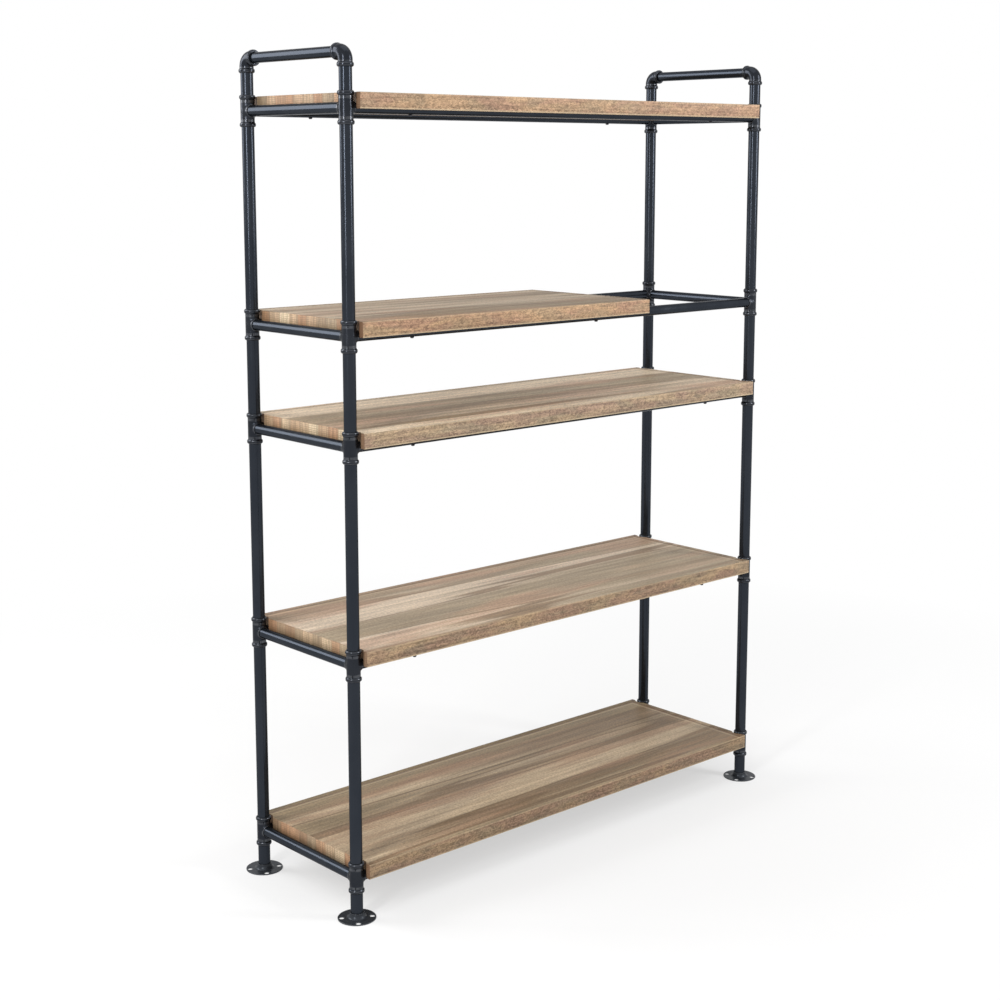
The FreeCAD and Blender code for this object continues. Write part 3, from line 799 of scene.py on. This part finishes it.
def oak_material(level, low, high):
    """Matt lacquered oak of one board. The walls of its notches get painted shade: a dark reddish brown.
    """
    s = settings("board")
    shader = Shader(bpy.data.materials.new("oak_" + level))
    shader.set(Specular_IOR_Level=0.30)
    along, across, up = shader.node("ShaderNodeSeparateXYZ", {"Vector": shader.places}).outputs
    # Each board's tints hold painted light and shade besides its own tone.
    face_tint_and_light, edge_tint_and_light = BOARD_TINTS_AND_LIGHT[level]
    colour = oak_strips(shader, s, oak_face(shader, s, face_tint_and_light), along, across, up, high)
    # Painted shade: the underside is darkened to half, as shade under the board.
    colour = shader.dim(colour, shader.ramp(up, low.z + 0.4 * MM, low.z + 1 * MM, 0.5, 1.0))
    # Painted shade: the notch walls beside the posts are a dark reddish brown.
    notch = shader.mix(shader.patches((60, 60, 220), 0.35, 0.65), s.stain_and_shade, s.brown)
    for name, other in (
            ("edging", oak_edge(shader, s, up, low, high, edge_tint_and_light)),
            ("end_grain", oak_end(shader, s, across, up, low, level)),
            ("notch", notch)):
        colour = shader.mix(shader.attribute(name), colour, other)
    grain = shader.noise((9.0, 420, 420), roughness=0.6)
    pores = shader.noise((70, 1500, 1500), detail=2.0)
    height = shader.calc("ADD", shader.times(grain, 0.5), shader.times(pores, 0.5))
    return shader.paint(colour, shader.ramp(grain, 0.3, 0.7, 0.52, 0.68), height, 0.25 * MM)


# Operators: one for each kind of piece

class PIPESHELF_OT_pipes(bpy.types.Operator):
    """Add the posts, handle bars, side bars and rails as smooth round pipes"""
    bl_idname = "pipeshelf.pipes"
    bl_label = "Pipes"

    def execute(self, context):
        s = settings("metal")
        coat = coat_material(
            "pipe_coat", s.pipe, s.pipe_worn, s.metallic, s.pipe_rim, s.roughness, s.pipe_grit)
        for corner in CORNERS:
            low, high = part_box("post_" + corner)
            x, y = corner_place(corner)
            ends = ((x, y, low.z), (x, y, high.z))
            post = pipe_run("post_pipe_" + corner, [ends], POST_DIA, POST_SIDES, coat)
            hand_over(post, "pipe", "post_" + corner)
        for kind in ("handle_bar", "side_bar", "front_rail", "back_rail"):
            nodes = [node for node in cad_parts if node.startswith(kind + "_")]
            runs = [bar_ends(node) for node in sorted(nodes)]
            bars = pipe_run(kind + "s", runs, BAR_DIA, BAR_SIDES, coat)
            hand_over(bars, "pipe", *nodes)
        return {"FINISHED"}


def bar_ends(node):
    """Both ends of a bar's centre line."""
    low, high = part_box(node)
    centre = (low + high) / 2
    axis = max(range(3), key=lambda i: high[i] - low[i])
    ends = []
    for limit in (low, high):
        end = centre.copy()
        end[axis] = limit[axis]
        ends.append(tuple(end))
    return tuple(ends)


class PIPESHELF_OT_tees(bpy.types.Operator):
    """Add the twenty tee castings, the five on each post as one piece"""
    bl_idname = "pipeshelf.tees"
    bl_label = "Tees"

    def execute(self, context):
        template = tee_mesh(casting_coat())
        heights = [level_height(level) for level in LEVELS]
        for corner, (turn, _, _) in CORNERS.items():
            nodes = ["tee_%s_%s" % (level, corner) for level in LEVELS]
            castings_on_post("tees_" + corner, template, corner, heights, turn, nodes)
        return {"FINISHED"}


class PIPESHELF_OT_elbows(bpy.types.Operator):
    """Add the four elbow castings at the ends of the handle bars"""
    bl_idname = "pipeshelf.elbows"
    bl_label = "Elbows"

    def execute(self, context):
        template = elbow_mesh(casting_coat())
        for corner, (_, turn, _) in CORNERS.items():
            name = "elbow_casting_" + corner
            castings_on_post(name, template, corner, [HANDLE_HEIGHT], turn, ["elbow_" + corner])
        return {"FINISHED"}


class PIPESHELF_OT_flanges(bpy.types.Operator):
    """Add the four round floor flanges with their bolt holes"""
    bl_idname = "pipeshelf.flanges"
    bl_label = "Floor Flanges"

    def execute(self, context):
        s = settings("metal")
        coat = coat_material(
            "flange_coat", s.flange, s.casting_worn, s.flange_metallic, s.casting_rim, s.flange_roughness,
            s.cast_grit)
        template = flange_mesh(coat)
        for corner, (_, _, turn) in CORNERS.items():
            name = "floor_flange_casting_" + corner
            castings_on_post(name, template, corner, [0.0], turn, ["floor_flange_" + corner])
        return {"FINISHED"}


# Kinds of points on a board's outline: plain, lowered by the groove across, or in the back groove
PLAIN, ON_TOP, IN_GROOVE = range(3)


def rounding(centre_y, centre_z, radius, start, stop, steps=6):
    """Points of an arc across a board, between two angles given in quarter turns."""
    turns = np.linspace(start, stop, steps + 1) * math.pi / 2
    return [(centre_y + radius * math.cos(t), centre_z + radius * math.sin(t), PLAIN) for t in turns]


def board_section(level, low, high):
    """Outline of a board across its length, with a round-topped groove over each rail."""
    s = settings("board")
    rail = node_centre("front_rail_" + level)
    front, back, bottom, top = low.y, high.y, low.z, high.z
    e = s.easing
    seam_y = back - s.edging
    half_seam = s.seam_width / 2
    reach = BAR_DIA / 2 + s.groove_gap
    spring = rail.z + BAR_DIA / 2 - reach
    outline = [(front + s.low_easing, bottom, PLAIN), (front, bottom + s.low_easing, PLAIN)]
    outline += rounding(front + e, top - e, e, 2, 1)
    outline += [(front + e + s.seam_width, top, ON_TOP), (seam_y - half_seam, top, ON_TOP)]
    outline += [(seam_y, top, IN_GROOVE), (seam_y + half_seam, top, PLAIN)]
    outline += rounding(back - e, top - e, e, 1, 0)
    outline += [(back, bottom + s.low_easing, PLAIN), (back - s.low_easing, bottom, PLAIN)]
    for line in (-rail.y, rail.y):
        outline.append((line + reach, bottom, PLAIN))
        outline += rounding(line, spring, reach, 0, 2, steps=16)
        outline.append((line - reach, bottom, PLAIN))
    return outline


def board_mesh(level, low, high, material):
    """Board with eased edges, rail grooves below and fine grooves along the two seams on top."""
    s = settings("board")
    outline = board_section(level, low, high)
    half_seam = s.seam_width / 2
    seam_x = high.x - s.edging
    stations = [
        (low.x, s.low_easing), (low.x + s.low_easing, 0.0),
        (seam_x - half_seam, 0.0), (seam_x, 0.0), (seam_x + half_seam, 0.0),
        (high.x - s.low_easing, 0.0), (high.x, s.low_easing),
    ]
    body = bmesh.new()
    body.faces.layers.float.new("notch")
    edging = body.faces.layers.float.new("edging")
    end_grain = body.faces.layers.float.new("end_grain")
    rings = []
    for x, inset in stations:
        ring = []
        for y, z, part in outline:
            lowered = part == ON_TOP and x == seam_x or part == IN_GROOVE and x <= seam_x
            y = min(max(y, low.y + inset), high.y - inset)
            z = min(max(z, low.z + inset), high.z - inset) - (s.seam_depth if lowered else 0.0)
            ring.append(body.verts.new((x, y, z)))
        rings.append(ring)
    count = len(outline)
    for ring, after in zip(rings, rings[1:]):
        for i in range(count):
            j = (i + 1) % count
            body.faces.new((ring[i], ring[j], after[j], after[i]))
    body.faces.new(rings[0][::-1])
    body.faces.new(rings[-1])
    bmesh.ops.recalc_face_normals(body, faces=body.faces)
    for face in body.faces:
        face[end_grain] = float(abs(face.normal.x) > 0.6)
        face[edging] = float(abs(face.normal.y) > 0.6)
    mesh = bpy.data.meshes.new("board_" + level)
    body.to_mesh(mesh)
    body.free()
    mesh.materials.append(material)
    return mesh


def notch_cutter(corner, radius, low, high, material):
    """Upright round cutter at a post."""
    x, y = corner_place(corner)
    cutter = bmesh.new()
    bmesh.ops.create_cone(
        cutter, cap_ends=True, segments=96, radius1=radius, radius2=radius, depth=(high.z - low.z) * 2,
        matrix=Matrix.Translation((x, y, (low.z + high.z) / 2)))
    layer = cutter.faces.layers.float.new("notch")
    for face in cutter.faces:
        face[layer] = 1.0
    mesh = bpy.data.meshes.new("cutter_" + corner)
    cutter.to_mesh(mesh)
    cutter.free()
    mesh.materials.append(material)
    return new_object(mesh.name, mesh)


class PIPESHELF_OT_boards(bpy.types.Operator):
    """Add the five oak boards, notched round the posts"""
    bl_idname = "pipeshelf.boards"
    bl_label = "Boards"

    def execute(self, context):
        casting = settings("casting")
        radius = math.hypot(casting.outlet_reach, casting.outlet_dia / 2) + settings("board").notch_gap
        for level in LEVELS:
            node = "board_" + level
            low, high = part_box(node)
            oak = oak_material(level, low, high)
            piece = new_object("oak_board_" + level, board_mesh(level, low, high, oak))
            cutters = []
            for corner in CORNERS:
                if low.x - radius < corner_place(corner)[0] < high.x + radius:
                    cutters.append(notch_cutter(corner, radius, low, high, oak))
            for cutter in cutters:
                cut = piece.modifiers.new("Notch", "BOOLEAN")
                cut.operation = "DIFFERENCE"
                cut.solver = "EXACT"
                cut.object = cutter
            settle_modifiers(piece)
            for cutter in cutters:
                bpy.data.objects.remove(cutter)
            smooth_by_angle(piece.data)
            hand_over(piece, "oak", node)
        return {"FINISHED"}


class PIPESHELF_OT_screws(bpy.types.Operator):
    """Finish the board screws under the rails in dark steel"""
    bl_idname = "pipeshelf.screws"
    bl_label = "Board Screws"

    def execute(self, context):
        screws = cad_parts["board_screws"]
        screws.data.materials.clear()
        screws.data.materials.append(steel_material())
        return {"FINISHED"}


class PIPESHELF_OT_stage(bpy.types.Operator):
    """Add the camera, a plain pale floor and soft studio lights"""
    bl_idname = "pipeshelf.stage"
    bl_label = "Stage"

    def execute(self, context):
        s = settings("stage")
        scene = bpy.context.scene
        scene.view_settings.view_transform = "Standard"
        self.add_camera(scene, s)
        self.add_floor(s)
        self.add_world(scene)
        for name, box in SOFT_BOXES.items():
            self.add_soft_box(name, *box)
        return {"FINISHED"}

    @staticmethod
    def add_camera(scene, s):
        """Camera at the photograph's place. It looks down a little, with a small lens shift."""
        data = bpy.data.cameras.new("camera")
        data.lens = s.focal
        data.sensor_width = 36.0
        data.shift_y = s.shift
        camera = new_object("camera", data)
        camera.location = (s.camera_x, s.camera_y, s.camera_z)
        camera.rotation_euler = (math.pi / 2 - s.tilt, 0.0, s.turn)
        scene.camera = camera

    @staticmethod
    def add_floor(s):
        """Round floor that fades into the white background away from the shelf."""
        disc = bmesh.new()
        bmesh.ops.create_circle(disc, cap_ends=True, segments=96, radius=s.floor_radius)
        mesh = bpy.data.meshes.new("floor")
        disc.to_mesh(mesh)
        disc.free()
        shader = Shader(bpy.data.materials.new("floor"))
        shader.set(Base_Color=(*s.floor_colour, 1.0), Roughness=0.9, Specular_IOR_Level=0.0)
        away = shader.node("ShaderNodeVectorMath", {0: shader.places}, operation="LENGTH")
        fade = shader.ramp(away.outputs["Value"], *FLOOR_FADE, s.floor_white, 1.0)
        blend = shader.node("ShaderNodeMixShader", {
            0: shader.times(fade, shader.seen_share()),
            1: shader.surface.outputs[0],
            2: shader.node("ShaderNodeEmission").outputs[0],
        })
        shader.tree.links.new(blend.outputs[0], shader.tree.nodes["Material Output"].inputs["Surface"])
        mesh.materials.append(shader.owner)
        new_object("floor", mesh)

    @staticmethod
    def add_world(scene):
        """White behind the object, and an even grey fill on it."""
        scene.world = bpy.data.worlds.new("studio")
        shader = Shader(scene.world)
        colour = shader.mix(shader.seen_share(), (WORLD_FILL,) * 3, (1.0, 1.0, 1.0))
        shader.tree.links.new(colour, shader.tree.nodes["Background"].inputs["Color"])

    @staticmethod
    def add_soft_box(name, place, width, height, watts):
        lamp = bpy.data.lights.new(name, "AREA")
        lamp.shape = "RECTANGLE"
        lamp.size = width
        lamp.size_y = height
        lamp.energy = watts
        light = new_object(name, lamp)
        light.location = place
        aim = Vector(LAMP_TARGET) - Vector(place)
        light.rotation_euler = aim.to_track_quat("-Z", "Y").to_euler()


class PIPESHELF_PT_panel(bpy.types.Panel):
    """Lists the steps and the settings"""
    bl_idname = "PIPESHELF_PT_panel"
    bl_label = "Pipe Bookshelf"
    bl_space_type = "VIEW_3D"
    bl_region_type = "UI"
    bl_category = "Bookshelf"

    def draw(self, context):
        layout = self.layout
        for operator in OPERATORS:
            layout.operator(operator.bl_idname)
        for name, group in SETTINGS.items():
            box = layout.box()
            box.label(text=name.capitalize())
            for field in group.__annotations__:
                box.prop(settings(name), field)


OPERATORS = (
    PIPESHELF_OT_pipes,
    PIPESHELF_OT_tees,
    PIPESHELF_OT_elbows,
    PIPESHELF_OT_flanges,
    PIPESHELF_OT_boards,
    PIPESHELF_OT_screws,
    PIPESHELF_OT_stage,
)
CLASSES = (*SETTINGS.values(), *OPERATORS, PIPESHELF_PT_panel)


def register():
    for cls in CLASSES:
        bpy.utils.register_class(cls)
    for name, group in SETTINGS.items():
        setattr(bpy.types.Scene, "bookshelf_" + name, bpy.props.PointerProperty(type=group))


def unregister():
    for name in SETTINGS:
        delattr(bpy.types.Scene, "bookshelf_" + name)
    for cls in reversed(CLASSES):
        bpy.utils.unregister_class(cls)


def main():
    register()
    for operator in OPERATORS:
        group, name = operator.bl_idname.split(".")
        getattr(getattr(bpy.ops, group), name)()


if __name__ == "__main__":
    main()
